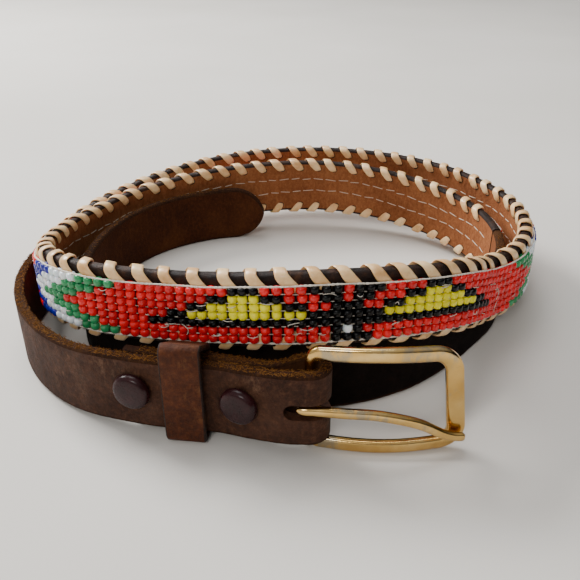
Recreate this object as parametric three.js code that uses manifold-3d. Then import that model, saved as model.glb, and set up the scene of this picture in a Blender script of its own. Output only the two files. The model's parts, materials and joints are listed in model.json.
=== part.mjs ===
// A beaded leather belt lying coiled on its lower edge, in millimetres, +Z up.
// The buckle end is in front (-Y); the belt then runs to the left, behind,
// to the right and round again, two and a half turns in all, and its free tip
// ends inside the coil at the back.

import * as THREE from 'three';
import { mergeVertices } from 'three/addons/utils/BufferGeometryUtils.js';
import Module from 'manifold-3d';

const wasm = await Module();
wasm.setup();

// Driving sizes

const COIL_REACH = 86;          // centre of the coil to its widest side
const STRAP_WIDTH = 22;         // leather, edge to edge
const LEATHER = 3.2;            // leather thickness
const EDGE_ROUND = 0.9;         // bevel on the leather's long edges
const CLEAR = 0.3;              // gap between pieces that touch

const BEADS_FROM = 97;          // degrees of turn where the beadwork starts
const BEADS_TO = 624;           // degrees of turn where it ends
const PANEL_WIDTH = 16.6;       // seven rows of beads
const PANEL_THICK = 2.3;        // one bead
const PANEL_ROUND = 0.8;
const PANEL_INSET = 3;          // bare leather at each end of the beadwork
const LACE_THICK = 0.8;
const LACE_WEB = 0.25;          // skin that joins the laps of lace
const LACE_CLEAR = 0.4;         // it bridges the bends, so it stands off more
const LACE_PITCH = 7.8;         // one lap of lace to the next
const LACE_DEPTH = 4.2;         // how far a lap reaches down each face
const LACE_LEAN = 2.6;          // how far a lap leans on each face

const FOLD_BACK = 52;           // leather folded back behind the buckle end
const HEEL_DIAMETER = 3.1;      // the buckle's bar inside the fold
const HEEL_CLEAR = 0.9;
const SLOT_HEIGHT = 6.4;        // opening in the fold for the prong
const SLOT_BEYOND = 5.4;        // how far it runs past the bar

const BAR_WIDTH = 3.6;          // buckle frame, upper and lower bars
const BAR_THICK = 2.6;
const END_BAR_WIDTH = 5;        // the bar that the prong rests on
const BUCKLE_LENGTH = 43;
const BUCKLE_BOW = 2.2;         // how far the long bars bow forward
const BUCKLE_BELLY = 0.7;       // how far they swell apart
const BUCKLE_LEAN = 3.4;        // upper bar shorter than the lower one
const BUCKLE_ROOM = 1.9;        // free height in the frame beside the strap
const HEEL_CORNER = 2.9;
const END_CORNER = 5.2;
const BAR_BEVEL = 0.24;         // share of a bar's width and thickness
const HEEL_BEVEL = 0.3;         // the same where it is all but round
const HEEL_FLATS = 0.94;        // across its flats, a share of HEEL_DIAMETER

const PRONG_DIAMETER = 2.4;
const PRONG_RING_WALL = 1.5;
const PRONG_DROOP = 10;         // tip lower than the ring
const PRONG_BOW = 1.15;         // how far it bows forward, a share of BUCKLE_BOW
const PRONG_TIP = 0.82;         // its tip, a share of PRONG_DIAMETER

const KEEPER_WIDTH = 11;
const KEEPER_WALL = 1.8;
const KEEPER_ROOM = 4.8;        // free height above the strap in front
const KEEPER_REAR_ROOM = 0.6;   // and behind
const KEEPER_AT = 33.4;         // along the strap from the fold
const KEEPER_ROUND = 2.4;

const SNAP_DIAMETER = 10.6;
const SNAP_HEIGHT = 2.7;
const SNAP_POST = 4;
const SNAP_BACK = 8.6;
const SNAP_BACK_THICK = 1;
// along: from the fold. up: share of STRAP_WIDTH.
const SNAPS = [
  { name: 'snap_near_buckle', along: 17.8, up: 0.53 },
  { name: 'snap_far', along: 47.4, up: 0.56 },
];

const TIP_TAPER = 13;
const TIP_FULLNESS = 0.62;      // lower is a blunter tip
const TIP_AT = 888;             // degrees of turn where the tip ends
const HOLE_DIAMETER = 4;
const HOLE_COUNT = 5;
const HOLE_SPACING = 22;
const HOLE_FROM_TIP = 100;

// The coil

// turn: degrees round the coil from the front, going left. reach: centre of
// the leather from the coil's centre, a share of COIL_REACH. gap: free space
// to the turn inside, a share of COIL_REACH. lift: lower edge above the
// table, a share of STRAP_WIDTH, or of FOLD_LIFT in the buckle end. splay:
// how far the lower edge stands out beyond the upper one, a share of
// STRAP_WIDTH.
const FOLD_LIFT = BUCKLE_BELLY + BAR_WIDTH + CLEAR;
const BUCKLE_END = [
  { turn: -15, gap: 0.118, lift: 1.03 },
  { turn: 0, gap: 0.097, lift: 0.97 },
  { turn: 7, gap: 0.073, lift: 0.7 },
  { turn: 15, gap: 0.06, lift: 0.5 },
  { turn: 30, gap: 0.09, lift: 0.47 },
  { turn: 45, gap: 0.047, lift: 0.1 },
];
const OUTER_TURN = [
  { turn: 60, gap: 0.036, lift: 0 },
  { turn: 75, gap: 0.028, lift: 0.005 },
  { turn: 90, gap: 0.01, lift: 0.035 },
  { turn: 105, gap: 0.014, lift: 0.09 },
  { turn: 120, gap: 0.02, lift: 0.145 },
  { turn: 135, gap: 0.05, lift: 0.21 },
  { turn: 165, gap: 0.128, lift: 0.31 },
  { turn: 195, gap: 0.137, lift: 0.35 },
  { turn: 225, gap: 0.097, lift: 0.335 },
  { turn: 240, gap: 0.058, lift: 0.32 },
  { turn: 255, gap: 0.036, lift: 0.31 },
];
const MIDDLE_TURN = [
  { turn: 270, gap: 0.038, lift: 0.325 },
  { turn: 285, gap: 0.03, lift: 0.38 },
  { turn: 300, gap: 0.025, lift: 0.51 },
  { turn: 315, gap: 0.053, lift: 0.8 },
  { turn: 330, gap: 0.048, lift: 0.985 },
  { turn: 345, gap: 0.036, lift: 1.075 },
  { turn: 360, gap: 0.04, lift: 1.11 },
  { turn: 375, gap: 0.024, lift: 1 },
  { turn: 390, gap: 0.016, lift: 0.92 },
  { turn: 405, gap: 0.046, lift: 0.915 },
  { turn: 420, gap: 0.05, lift: 0.75 },
  { turn: 435, gap: 0.062, lift: 0.5 },
  { turn: 450, gap: 0.052, lift: 0.335 },
  { turn: 465, gap: 0.034, lift: 0.24 },
  { turn: 480, gap: 0.028, lift: 0.225 },
  { turn: 495, gap: 0.018, lift: 0.26 },
  { turn: 510, gap: 0.02, lift: 0.31 },
  { turn: 525, gap: 0.043, lift: 0.345 },
];
const INNER_TURN = [
  { turn: 540, reach: 0.727, lift: 0.365 },
  { turn: 555, reach: 0.751, lift: 0.355 },
  { turn: 570, reach: 0.789, lift: 0.305 },
  { turn: 585, reach: 0.836, lift: 0.225 },
  { turn: 600, reach: 0.875, lift: 0.14 },
  { turn: 615, reach: 0.883, lift: 0.09 },
  { turn: 630, reach: 0.858, lift: 0.025 },
  { turn: 645, reach: 0.794, lift: 0, splay: 0.11 },
  { turn: 660, reach: 0.724, lift: 0, splay: 0.18 },
  { turn: 675, reach: 0.7, lift: 0, splay: 0.2 },
  { turn: 690, reach: 0.698, lift: 0, splay: 0.2 },
  { turn: 705, reach: 0.698, lift: 0, splay: 0.18 },
  { turn: 720, reach: 0.7, lift: 0, splay: 0.13 },
  { turn: 735, reach: 0.698, lift: 0, splay: 0.07 },
  { turn: 750, reach: 0.732, lift: 0 },
  { turn: 765, reach: 0.8, lift: 0 },
  { turn: 780, reach: 0.832, lift: 0 },
  { turn: 810, reach: 0.795, lift: 0 },
  { turn: 840, reach: 0.754, lift: 0 },
  { turn: 870, reach: 0.676, lift: 0 },
  { turn: 900, reach: 0.58, lift: 0 },
];

// A smooth curve through [place, value] rows.
function through(rows, place) {
  const last = rows.length - 1;
  let i = 0;
  while (i < last - 1 && place > rows[i + 1][0]) i += 1;
  const slope = (j) => {
    const a = rows[Math.max(j - 1, 0)];
    const b = rows[Math.min(j + 1, last)];
    return (b[1] - a[1]) / (b[0] - a[0]);
  };
  const [x0, y0] = rows[i];
  const [x1, y1] = rows[i + 1];
  const w = x1 - x0;
  const t = Math.min(Math.max((place - x0) / w, 0), 1);
  const [t2, t3] = [t * t, t * t * t];
  return y0 * (2 * t3 - 3 * t2 + 1) + y1 * (3 * t2 - 2 * t3)
    + w * (slope(i) * (t3 - 2 * t2 + t) + slope(i + 1) * (t3 - t2));
}

const overPlain = LEATHER + LACE_CLEAR + LACE_THICK;
const overBeads = overPlain + CLEAR + PANEL_THICK;
const coilRows = [
  ...BUCKLE_END.map((r) => ({ ...r, lift: r.lift * FOLD_LIFT })),
  ...[...OUTER_TURN, ...MIDDLE_TURN, ...INNER_TURN]
    .map((r) => ({ ...r, lift: r.lift * STRAP_WIDTH })),
];
const reachRows = [];
for (const row of [...coilRows].reverse()) {
  const inside = row.turn + 360;
  const stack = inside < BEADS_TO ? overBeads : overPlain;
  const reach = row.reach !== undefined ? row.reach * COIL_REACH
    : through(reachRows, inside) + stack + row.gap * COIL_REACH;
  reachRows.unshift([row.turn, reach]);
}
const liftRows = coilRows.map((r) => [r.turn, r.lift]);
const splayRows = coilRows.map((r) => [r.turn, r.splay ?? 0]);

const FOLD_TURN = -3.3;
const TURN_STEP = 0.5;
const walk = [];
for (let turn = FOLD_TURN; turn <= TIP_AT + TURN_STEP / 2; turn += TURN_STEP) {
  const a = THREE.MathUtils.degToRad(turn);
  const r = through(reachRows, turn);
  const p = new THREE.Vector3(-r * Math.sin(a), -r * Math.cos(a),
    Math.max(through(liftRows, turn), 0));
  const before = walk.at(-1);
  const along = before ? before.along + Math.hypot(p.x - before.p.x, p.y - before.p.y) : 0;
  walk.push({ turn, p, along, splay: Math.max(through(splayRows, turn), 0) });
}
const BELT_LENGTH = walk.at(-1).along;
const alongAt = (turn) => walk.find((w) => w.turn >= turn - 1e-6).along;
walk.forEach((w, i) => {
  const a = walk[Math.max(i - 3, 0)].p;
  const b = walk[Math.min(i + 3, walk.length - 1)].p;
  const on = new THREE.Vector3(b.x - a.x, b.y - a.y, 0).normalize();
  w.out = new THREE.Vector3(-on.y, on.x, 0);
});

// Every piece follows the same straight facets: long where the belt runs
// straight, short in its bends, where SAG is the most a facet cuts across.
const SAG = 0.09;
const LONGEST_FACET = 13;
const facets = [walk[0]];
for (let i = 1; i < walk.length; i += 1) {
  const from = facets.at(-1);
  const length = walk[i].along - from.along;
  const bend = walk[i].out.angleTo(from.out);
  if (length * bend / 8 > SAG || length > LONGEST_FACET || i === walk.length - 1) {
    facets.push(walk[i]);
  }
}

// The leather's centre line at a distance along the belt: its place, the way
// on, the way outward from the coil, and its splay.
function station(along) {
  let i = 0;
  while (i < facets.length - 2 && facets[i + 1].along < along) i += 1;
  const [a, b] = [facets[i], facets[i + 1]];
  const t = (along - a.along) / (b.along - a.along);
  const out = a.out.clone().lerp(b.out, t).normalize();
  return {
    p: a.p.clone().lerp(b.p, t), on: new THREE.Vector3(out.y, -out.x, 0), out,
    splay: a.splay + (b.splay - a.splay) * t,
  };
}

// Solids

function geometryFrom(points, faces) {
  const g = new THREE.BufferGeometry();
  g.setAttribute('position', new THREE.Float32BufferAttribute(points.flat(), 3));
  let volume = 0;
  for (const [a, b, c] of faces) {
    const [p, q, r] = [points[a], points[b], points[c]];
    volume += p[0] * (q[1] * r[2] - q[2] * r[1]) + p[1] * (q[2] * r[0] - q[0] * r[2])
      + p[2] * (q[0] * r[1] - q[1] * r[0]);
  }
  g.setIndex(faces.flatMap((f) => (volume < 0 ? [f[0], f[2], f[1]] : f)));
  return g;
}

// A solid through rings of points, capped at both ends or closed on itself.
function loft(rings, closed = false) {
  const n = rings[0].length;
  const faces = [];
  const count = closed ? rings.length : rings.length - 1;
  for (let i = 0; i < count; i += 1) {
    const a = i * n;
    const b = ((i + 1) % rings.length) * n;
    for (let j = 0; j < n; j += 1) {
      const k = (j + 1) % n;
      faces.push([a + j, b + j, b + k], [a + j, b + k, a + k]);
    }
  }
  if (!closed) {
    const flat = rings[0].map((p) => new THREE.Vector3(...p));
    const side = flat[1].clone().sub(flat[0]).normalize();
    const normal = new THREE.Vector3();
    for (let j = 1; j < n - 1; j += 1) {
      normal.add(flat[j].clone().sub(flat[0]).cross(flat[j + 1].clone().sub(flat[0])));
    }
    const up = normal.normalize().clone().cross(side);
    const outline = flat.map((p) => new THREE.Vector2(
      p.clone().sub(flat[0]).dot(side), p.clone().sub(flat[0]).dot(up)));
    const end = (rings.length - 1) * n;
    for (const [i, j, k] of THREE.ShapeUtils.triangulateShape(outline, [])) {
      faces.push([i, j, k], [end + i, end + k, end + j]);
    }
  }
  return geometryFrom(rings.flat(), faces);
}

// A section of [out, up] points set up at each station of a path.
const placed = ({ p, out, splay = 0 }, section) => section.map(([u, v]) => {
  const away = u + splay * (STRAP_WIDTH - v);
  return [p.x + out.x * away, p.y + out.y * away, p.z + v];
});

function toManifold(geometry) {
  const bare = geometry.clone();
  bare.deleteAttribute('normal');
  bare.deleteAttribute('uv');
  const g = mergeVertices(bare);
  return new wasm.Manifold(new wasm.Mesh({
    numProp: 3,
    vertProperties: new Float32Array(g.attributes.position.array),
    triVerts: new Uint32Array(g.index.array),
  }));
}

function fromManifold(solid) {
  const mesh = solid.getMesh();
  const g = new THREE.BufferGeometry();
  g.setAttribute('position', new THREE.Float32BufferAttribute(mesh.vertProperties, 3));
  g.setIndex([...mesh.triVerts]);
  return g;
}

// The two ends and every facet's corner between them.
const stations = (from, to) => [from,
  ...facets.map((f) => f.along).filter((s) => s > from + 1 && s < to - 1), to];

const half = LEATHER / 2;
const middle = STRAP_WIDTH / 2;

// The leather's section: half its height can shrink towards the tip.
function leatherSection(reach = middle) {
  const c = Math.min(EDGE_ROUND, half * 0.6, reach * 0.5);
  return [
    [half, middle - reach + c], [half, middle + reach - c],
    [half - c, middle + reach], [c - half, middle + reach],
    [-half, middle + reach - c], [-half, middle - reach + c],
    [c - half, middle - reach], [half - c, middle - reach],
  ];
}

// A round bar of a given length with its middle at `at` and its axis along
// `axis`, both vectors.
function roundBar(diameter, length, at, axis, sides = 16) {
  const g = new THREE.CylinderGeometry(diameter / 2, diameter / 2, length, sides);
  g.applyQuaternion(new THREE.Quaternion().setFromUnitVectors(
    new THREE.Vector3(0, 1, 0), axis));
  g.translate(at.x, at.y, at.z);
  return toManifold(g);
}

// A round hole square through the leather, at a place along the belt and a
// share of its width up from the lower edge.
function boreThrough(along, up, diameter, deep, sides) {
  const { p, out } = station(along);
  return roundBar(diameter, deep, p.clone().setZ(p.z + up * STRAP_WIDTH), out, sides);
}

const beadsStart = alongAt(BEADS_FROM);
const beadsEnd = alongAt(BEADS_TO);

// Buckle end: along the front, round the heel bar, and back behind itself.
const foldRadius = HEEL_DIAMETER / 2 + HEEL_CLEAR + half;
const layers = LEATHER + CLEAR;             // centre to centre once flat
const CLOSES_OVER = 14;                     // the fold lies flat after this
const foldStart = station(0);
const heel = foldStart.p.clone().addScaledVector(foldStart.out, -foldRadius);
const FOLD_STEPS = 10;

function buckleStrap() {
  const path = stations(0, beadsStart - CLEAR).reverse()
    .map((along) => station(along));
  for (let i = 1; i <= FOLD_STEPS; i += 1) {
    const a = Math.PI * i / FOLD_STEPS;
    const out = foldStart.out.clone().multiplyScalar(Math.cos(a))
      .addScaledVector(foldStart.on, -Math.sin(a));
    path.push({ p: heel.clone().addScaledVector(out, foldRadius), out });
  }
  const back = [2, 4, 7, 10, CLOSES_OVER,
    ...stations(CLOSES_OVER, FOLD_BACK).slice(1)];
  for (const along of back) {
    const s = station(along);
    const t = THREE.MathUtils.smoothstep(along, 0, CLOSES_OVER);
    const behind = 2 * foldRadius + (layers - 2 * foldRadius) * t;
    path.push({ p: s.p.clone().addScaledVector(s.out, -behind), out: s.out.clone().negate() });
  }
  let solid = toManifold(loft(path.map((s) => placed(s, leatherSection()))));
  const slotLength = SLOT_BEYOND + foldRadius * 3;
  const slotDeep = foldRadius * 6;
  const slotEnd = new THREE.Vector3(
    heel.x - SLOT_BEYOND + SLOT_HEIGHT / 2, heel.y, heel.z + middle);
  const slotBox = new THREE.BoxGeometry(slotLength, slotDeep, SLOT_HEIGHT);
  slotBox.translate(slotEnd.x + slotLength / 2, slotEnd.y, slotEnd.z);
  solid = solid.subtract(toManifold(slotBox))
    .subtract(roundBar(SLOT_HEIGHT, slotDeep, slotEnd, new THREE.Vector3(0, 1, 0)));
  for (const { along, up } of SNAPS) {
    solid = solid.subtract(boreThrough(along, up, SNAP_POST + 2 * CLEAR, 6 * layers));
  }
  return fromManifold(solid);
}

function beltBody() {
  const path = stations(beadsStart, beadsEnd).map(station);
  return loft(path.map((s) => placed(s, leatherSection())));
}

// Tip end: plain leather to a rounded point, with the fastening holes.
function tipStrap() {
  const taperStart = BELT_LENGTH - TIP_TAPER;
  const path = stations(beadsEnd + CLEAR, taperStart)
    .map((along) => placed(station(along), leatherSection()));
  for (const t of [0.3, 0.55, 0.75, 0.9, 1]) {
    const narrow = middle * (1 - t * t) ** TIP_FULLNESS;
    path.push(placed(station(taperStart + TIP_TAPER * t * 0.999),
      leatherSection(Math.max(narrow, 1))));
  }
  let solid = toManifold(loft(path));
  for (let i = 0; i < HOLE_COUNT; i += 1) {
    const along = BELT_LENGTH - HOLE_FROM_TIP - i * HOLE_SPACING;
    solid = solid.subtract(boreThrough(along, 0.5, HOLE_DIAMETER, 3 * LEATHER, 12));
  }
  return fromManifold(solid);
}

// The beadwork: one band on the outer face, rebated behind its long edges,
// where the laps of lace end.
function beadPanel() {
  const low = middle - PANEL_WIDTH / 2;
  const high = middle + PANEL_WIDTH / 2;
  const inner = half + CLEAR;
  const ledge = half + LACE_CLEAR + LACE_THICK + CLEAR;
  const outer = inner + PANEL_THICK;
  const lap = LACE_DEPTH + CLEAR;
  const section = [
    [inner, lap], [ledge, lap], [ledge, low], [outer, low + PANEL_ROUND],
    [outer, high - PANEL_ROUND], [ledge, high], [ledge, STRAP_WIDTH - lap],
    [inner, STRAP_WIDTH - lap],
  ];
  const path = stations(beadsStart + PANEL_INSET, beadsEnd - PANEL_INSET).map(station);
  return loft(path.map((s) => placed(s, section)));
}

// Lacing along one edge: laps that lean over the edge, joined by a thin skin.
// edge is +1 for the upper edge and -1 for the lower one.
function edgeLace(edge) {
  const inner = half + LACE_CLEAR;
  const place = (u, v, lean) => ({ u, v: middle + edge * (middle + v), lean });
  const ring = (thick) => [
    place(inner, -LACE_DEPTH, -1), place(inner, LACE_CLEAR, -0.25),
    place(-inner, LACE_CLEAR, 0.25), place(-inner, -LACE_DEPTH, 1),
    place(-inner - thick, -LACE_DEPTH, 1), place(-inner - thick / 4, LACE_CLEAR + thick, 0.25),
    place(inner + thick / 4, LACE_CLEAR + thick, -0.25), place(inner + thick, -LACE_DEPTH, -1),
  ];
  const from = beadsStart + LACE_LEAN + PANEL_INSET;
  const laps = Math.floor((beadsEnd - LACE_LEAN - PANEL_INSET - from) / LACE_PITCH);
  const rings = [];
  for (let i = 0; i < 2 * laps; i += 1) {
    const along = from + i * LACE_PITCH / 2;
    rings.push(ring(i % 2 ? LACE_WEB : LACE_THICK).map(({ u, v, lean }) => {
      const { p, out } = station(along + lean * LACE_LEAN);
      return [p.x + out.x * u, p.y + out.y * u, p.z + v];
    }));
  }
  return loft(rings);
}

// A leather loop round both layers of the buckle end.
function keeper() {
  const { p, on, out } = station(KEEPER_AT);
  const front = half + 4 * CLEAR;             // the strap bends inside it
  const rear = -(layers + half + CLEAR);
  const low = -CLEAR;
  const high = STRAP_WIDTH + KEEPER_ROOM;
  const rearHigh = STRAP_WIDTH + KEEPER_REAR_ROOM;
  const outline = (grow, round) => {
    const r = Math.max(round, 0.4);
    const [u0, u1] = [rear - grow + r, front + grow - r];
    const corners = [[u1, low - grow + r, -90], [u1, high + grow - r, 0],
      [u0, rearHigh + grow - r, 90], [u0, low - grow + r, 180]];
    return corners.flatMap(([u, v, start]) => [0, 30, 60, 90].map((turn) => {
      const a = THREE.MathUtils.degToRad(start + turn);
      return [u + r * Math.cos(a), v + r * Math.sin(a)];
    }));
  };
  const outside = outline(KEEPER_WALL, KEEPER_ROUND);
  const inside = outline(0, KEEPER_ROUND - KEEPER_WALL);
  const ends = [-0.5, 0.5].map((t) => t * KEEPER_WIDTH);
  const rings = [];
  for (const [shape, end] of [[outside, ends[0]], [outside, ends[1]],
    [inside, ends[1]], [inside, ends[0]]]) {
    rings.push(shape.map(([u, v]) => {
      const q = p.clone().addScaledVector(on, end).addScaledVector(out, u);
      return [q.x, q.y, p.z + v];
    }));
  }
  return loft(rings, true);
}

// A press stud: cap in front, post through both layers, disc behind.
function snap({ along, up }) {
  const { p, out } = station(along);
  const r = SNAP_DIAMETER / 2;
  // The leather bends a little under a stud: how far it comes forward, and
  // how far it falls back, at the stud's sides.
  const bends = [-1, -0.5, 0, 0.5, 1].map((t) => (
    station(Math.max(along + t * r, 0)).p.sub(p).dot(out)));
  const face = half + CLEAR + Math.max(...bends);
  const behind = -(layers + half + CLEAR) + Math.min(...bends);
  const profile = [
    [0, behind - SNAP_BACK_THICK], [SNAP_BACK / 2, behind - SNAP_BACK_THICK],
    [SNAP_BACK / 2, behind], [SNAP_POST / 2, behind], [SNAP_POST / 2, face],
    [r * 0.98, face], [r, face + SNAP_HEIGHT * 0.3], [r * 0.9, face + SNAP_HEIGHT * 0.68],
    [r * 0.6, face + SNAP_HEIGHT * 0.93], [0, face + SNAP_HEIGHT],
  ].map(([x, y]) => new THREE.Vector2(x, y));
  const g = new THREE.LatheGeometry(profile, 16);
  g.applyQuaternion(new THREE.Quaternion().setFromUnitVectors(
    new THREE.Vector3(0, 1, 0), out));
  g.translate(p.x, p.y, p.z + up * STRAP_WIDTH);
  return fromManifold(toManifold(g));
}

// The buckle

// Points of the buckle are [length, forward, up] from the heel's foot.
const frameLow = foldStart.p.z - CLEAR - BAR_WIDTH;
const frameHeight = STRAP_WIDTH + BUCKLE_ROOM + 2 * BAR_WIDTH;
const endBarAt = BUCKLE_LENGTH - HEEL_DIAMETER / 2 - END_BAR_WIDTH / 2;
const inBuckle = (length, forward, up) => [heel.x + length, heel.y - forward, up];
const arch = (length) => Math.sin(Math.PI * THREE.MathUtils.clamp(length / endBarAt, 0, 1));

function buckleFrame() {
  const low = frameLow + BAR_WIDTH / 2;
  const high = frameLow + frameHeight - BAR_WIDTH / 2;
  const path = [];
  const turnRound = (r, x, z, start) => {
    for (const turn of [0, 22.5, 45, 67.5, 90]) {
      const a = THREE.MathUtils.degToRad(start + turn);
      path.push([x + r * Math.cos(a), z + r * Math.sin(a), start + turn]);
    }
  };
  turnRound(HEEL_CORNER, HEEL_CORNER, low + HEEL_CORNER, 180);
  for (const t of [0.25, 0.42, 0.58, 0.75]) path.push([endBarAt * t, low, 270]);
  turnRound(END_CORNER, endBarAt - END_CORNER, low + END_CORNER, 270);
  turnRound(END_CORNER, endBarAt - END_CORNER, high - END_CORNER, 0);
  for (const t of [0.75, 0.58, 0.42, 0.25]) path.push([endBarAt * t, high, 90]);
  turnRound(HEEL_CORNER, HEEL_CORNER, high - HEEL_CORNER, 90);
  const rings = path.map(([x, z, facing]) => {
    const a = THREE.MathUtils.degToRad(facing);
    const side = [Math.cos(a), Math.sin(a)];
    const isHeel = THREE.MathUtils.clamp(-side[0], 0, 1) ** 2;
    const isEnd = THREE.MathUtils.clamp(side[0], 0, 1) ** 2;
    const heelWide = HEEL_DIAMETER * HEEL_FLATS;
    const wide = BAR_WIDTH + (heelWide - BAR_WIDTH) * isHeel
      + (END_BAR_WIDTH - BAR_WIDTH) * isEnd;
    const thick = BAR_THICK + (heelWide - BAR_THICK) * isHeel;
    const bevel = BAR_BEVEL + (HEEL_BEVEL - BAR_BEVEL) * isHeel;
    const rear = bevel * (1 + isHeel) / 2;
    const section = [
      [-0.5 + rear, -0.5], [0.5 - rear, -0.5], [0.5, -0.5 + bevel], [0.5, 0.5 - bevel],
      [0.5 - bevel, 0.5], [bevel - 0.5, 0.5], [-0.5, 0.5 - bevel], [-0.5, -0.5 + bevel],
    ];
    const upShare = (z - low) / (high - low);
    const swell = BUCKLE_BELLY * arch(x) * (2 * upShare - 1);
    return section.map(([w, t]) => {
      const length = x + side[0] * w * wide;
      return inBuckle(length - BUCKLE_LEAN * upShare * length / endBarAt,
        BUCKLE_BOW * arch(x) + t * thick, z + side[1] * w * wide + swell);
    });
  });
  return loft(rings, true);
}

// The prong: a ring round the heel bar and a bowed, drooping tongue whose tip
// lies on the end bar.
function prong() {
  const r = PRONG_DIAMETER / 2;
  const boreR = HEEL_DIAMETER / 2 + CLEAR;
  const ringR = boreR + PRONG_RING_WALL;
  const ringUp = foldStart.p.z + middle;
  const ringAt = new THREE.Vector3(heel.x, heel.y, ringUp);
  const upright = new THREE.Vector3(0, 0, 1);
  const ring = roundBar(2 * ringR, PRONG_DIAMETER, ringAt, upright, 20);
  const bore = roundBar(2 * boreR, 3 * PRONG_DIAMETER, ringAt, upright, 20);
  const rest = BAR_THICK / 2 + CLEAR + r;     // tongue's centre before the bar
  const outside = boreR + PRONG_RING_WALL / 2;
  // along: share of the way to the end bar. forward: share of the bow.
  // down: share of the droop.
  const tongue = [
    { along: -0.02, forward: 0, down: 0 }, { along: 0.1, forward: 0.35, down: 0 },
    { along: 0.25, forward: 0.8, down: -0.02 }, { along: 0.42, forward: 1, down: 0.02 },
    { along: 0.6, forward: 0.9, down: 0.22 }, { along: 0.74, forward: 0.6, down: 0.48 },
    { along: 0.87, forward: 0.34, down: 0.82 }, { along: 0.95, forward: 0.16, down: 0.96 },
    { along: 1.04, forward: 0.06, down: 1 },
  ];
  const centre = tongue.map(({ along, forward, down }) => {
    const base = outside + (rest - outside) * Math.min(Math.max(along, 0), 1);
    return new THREE.Vector3(...inBuckle(along * endBarAt,
      base + forward * BUCKLE_BOW * PRONG_BOW, ringUp - down * PRONG_DROOP));
  });
  const curve = new THREE.CatmullRomCurve3(centre);
  const rings = [];
  const SPANS = 16;
  for (let i = 0; i <= SPANS; i += 1) {
    const p = curve.getPoint(i / SPANS);
    const t = curve.getTangent(i / SPANS);
    const side = new THREE.Vector3(0, -1, 0).addScaledVector(t, t.y).normalize();
    const up = t.clone().cross(side);
    const slim = i > SPANS - 3 ? PRONG_TIP : 1;
    rings.push(Array.from({ length: 8 }, (_, j) => {
      const a = Math.PI * (j + 0.5) / 4;
      const q = p.clone().addScaledVector(side, r * slim * Math.cos(a))
        .addScaledVector(up, r * slim * Math.sin(a));
      return q.toArray();
    }));
  }
  const solid = ring.add(toManifold(loft(rings))).subtract(bore);
  return fromManifold(solid);
}

// The scene graph

const material = (color, roughness, metalness = 0) => (
  new THREE.MeshStandardMaterial({ color, roughness, metalness }));
const brownLeather = [0x5f4132, 0.75];
const brass = [0xc9a763, 0.32, 1];

const pieces = [
  ['buckle_strap', buckleStrap(), material(...brownLeather)],
  ['belt_body', beltBody(), material(0x35211a, 0.6)],
  ['tip_strap', tipStrap(), material(...brownLeather)],
  ['bead_panel', beadPanel(), material(0xa3151a, 0.3)],
  ['upper_lace', edgeLace(1), material(0xd9bf97, 0.45)],
  ['lower_lace', edgeLace(-1), material(0xd9bf97, 0.45)],
  ['keeper', keeper(), material(0x6b4432, 0.7)],
  ...SNAPS.map((s) => [s.name, snap(s), material(0x3b2a2d, 0.25, 0.2)]),
  ['buckle_frame', buckleFrame(), material(...brass)],
  ['prong', prong(), material(...brass)],
];

// The whole stands with the middle of its own box over the origin.
const whole = new THREE.Box3();
for (const [, geometry] of pieces) {
  geometry.computeBoundingBox();
  whole.union(geometry.boundingBox);
}
const centre = whole.getCenter(new THREE.Vector3());

const belt = new THREE.Group();
belt.name = 'beaded_belt';
belt.position.set(-centre.x, -centre.y, -whole.min.z);
for (const [name, geometry, look] of pieces) {
  geometry.computeVertexNormals();
  const mesh = new THREE.Mesh(geometry, look);
  mesh.name = name;
  belt.add(mesh);
}

export default belt;
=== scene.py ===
"""A beaded leather belt, coiled on its lower edge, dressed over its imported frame. Metres."""

import json
import math
import random

import bmesh
import bpy
import numpy as np
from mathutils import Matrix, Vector


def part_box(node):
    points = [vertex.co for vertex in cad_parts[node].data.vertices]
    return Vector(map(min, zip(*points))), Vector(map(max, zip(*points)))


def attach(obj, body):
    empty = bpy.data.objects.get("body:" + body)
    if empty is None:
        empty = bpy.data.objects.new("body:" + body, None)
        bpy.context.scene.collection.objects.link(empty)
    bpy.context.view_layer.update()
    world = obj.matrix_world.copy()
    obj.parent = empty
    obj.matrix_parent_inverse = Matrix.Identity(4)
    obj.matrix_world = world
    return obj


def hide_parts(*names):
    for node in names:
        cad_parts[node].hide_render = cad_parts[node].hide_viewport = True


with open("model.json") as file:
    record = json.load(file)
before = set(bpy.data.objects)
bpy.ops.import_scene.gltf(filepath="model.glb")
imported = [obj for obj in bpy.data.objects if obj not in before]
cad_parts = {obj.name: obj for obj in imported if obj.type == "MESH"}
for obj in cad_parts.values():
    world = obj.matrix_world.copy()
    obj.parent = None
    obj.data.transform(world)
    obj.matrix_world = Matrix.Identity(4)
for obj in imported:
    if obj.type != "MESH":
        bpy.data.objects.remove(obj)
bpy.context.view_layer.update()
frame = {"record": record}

MM = 0.001

# Driving sizes, in millimetres, as the part has them. The slot's are its own:
# lower and longer, as in the photo. So are BEAD_MARGIN and LACE_WIDTH.
COIL_REACH = 86.0
WIDTH = 22.0
LEATHER = 3.2
CLEAR = 0.3
BEADS_FROM = 97.0
BEADS_TO = 624.0
PANEL_THICK = 2.3
PANEL_INSET = 3.0
BEAD_MARGIN = 1.5
LACE_WIDTH = 3.2
LACE_THICK = 0.8
LACE_CLEAR = 0.4
LACE_PITCH = 7.8
LACE_LEAN = 2.6
FOLD_BACK = 52.0
HEEL_DIAMETER = 3.1
HEEL_CLEAR = 0.9
BAR_WIDTH = 3.6
BUCKLE_BELLY = 0.7
KEEPER_WIDTH = 11.0
KEEPER_WALL = 1.8
KEEPER_ROOM = 4.8
KEEPER_REAR_ROOM = 0.6
KEEPER_AT = 33.4
TIP_TAPER = 13.0
TIP_AT = 888.0
FOLD_TURN = -3.3
SLOT_HEIGHT = 4.6
SLOT_BEYOND = 6.7
SLOT_DROP = 0.35
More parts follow.
